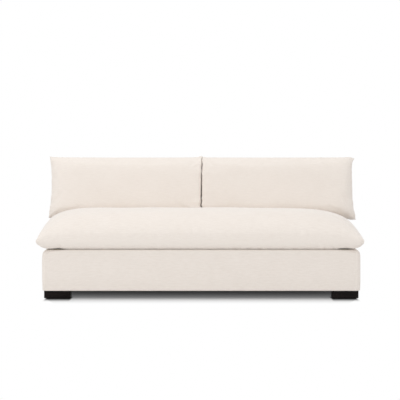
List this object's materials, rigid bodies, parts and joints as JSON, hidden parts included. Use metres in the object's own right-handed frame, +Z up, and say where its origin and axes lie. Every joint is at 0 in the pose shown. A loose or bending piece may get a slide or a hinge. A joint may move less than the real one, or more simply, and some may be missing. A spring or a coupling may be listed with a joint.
{
  "type": "armless sofa",
  "caption": "Armless sofa with a long knife-edge bench seat cushion, loose knife-edge back cushions, a softly rounded upholstered base and low dark block feet.",
  "frame": {"origin": "on the floor under the middle of the whole sofa, cushions included", "axes": "+X along the sofa to the right as seen from the front, -Y out of the front, +Z up"},
  "size_m": [2.004, 1.04, 0.8426],
  "materials": {
    "oat_fabric": "fine woven matte",
    "deck_cloth": "plain woven matte",
    "black_cloth": "thin non-woven matte",
    "webbing": "ribbed elastic matte",
    "foam": "open cell matte",
    "frame_wood": "sawn unfinished",
    "dark_wood": "espresso satin",
    "glide_plastic": "matte",
    "spring_steel": "oiled",
    "zinc_steel": "zinc plated"
  },
  "bodies": {
    "frame": {"foot_front_left": "dark_wood", "foot_front_right": "dark_wood", "foot_rear_left": "dark_wood", "foot_rear_right": "dark_wood", "foot_glides": "glide_plastic", "foot_screws": "zinc_steel", "block_screws": "zinc_steel", "front_rail": "frame_wood", "rear_rail": "frame_wood", "left_side_rail": "frame_wood", "right_side_rail": "frame_wood", "stretcher_left": "frame_wood", "stretcher_right": "frame_wood", "corner_block_front_left": "frame_wood", "corner_block_front_right": "frame_wood", "corner_block_rear_left": "frame_wood", "corner_block_rear_right": "frame_wood", "back_upright_1": "frame_wood", "back_upright_2": "frame_wood", "back_upright_3": "frame_wood", "back_upright_4": "frame_wood", "back_tack_rail": "frame_wood", "back_upper_rail": "frame_wood", "back_top_cap": "frame_wood", "back_webbing": "webbing", "seat_spring_01": "spring_steel", "seat_spring_02": "spring_steel", "seat_spring_03": "spring_steel", "seat_spring_04": "spring_steel", "seat_spring_05": "spring_steel", "seat_spring_06": "spring_steel", "seat_spring_07": "spring_steel", "seat_spring_08": "spring_steel", "seat_spring_09": "spring_steel", "seat_spring_10": "spring_steel", "seat_spring_11": "spring_steel", "seat_spring_12": "spring_steel", "spring_clips": "zinc_steel", "spring_tie_wires": "spring_steel", "deck_insulator": "black_cloth", "deck_foam": "foam", "deck_cloth": "deck_cloth", "front_edge_foam": "foam", "left_edge_foam": "foam", "right_edge_foam": "foam", "base_cover": "oat_fabric", "dust_cover": "black_cloth", "inside_back_foam": "foam", "inside_back_cover": "oat_fabric", "outside_back_cover": "oat_fabric"},
    "seat": {"seat_cushion": "oat_fabric", "seat_cushion_core": "foam"},
    "back_left": {"back_cushion_left": "oat_fabric", "back_cushion_left_core": "foam"},
    "back_right": {"back_cushion_right": "oat_fabric", "back_cushion_right_core": "foam"}
  },
  "joints": [
    {"name": "seat_cushion_slide", "type": "slide", "parent": "frame", "child": "seat", "axis": [0, -1, 0], "range_m": [0, 0.42]},
    {"name": "back_cushion_left_lift", "type": "slide", "parent": "frame", "child": "back_left", "axis": [0, 0, 1], "range_m": [0, 0.3]},
    {"name": "back_cushion_right_lift", "type": "slide", "parent": "frame", "child": "back_right", "axis": [0, 0, 1], "range_m": [0, 0.3]}
  ]
}
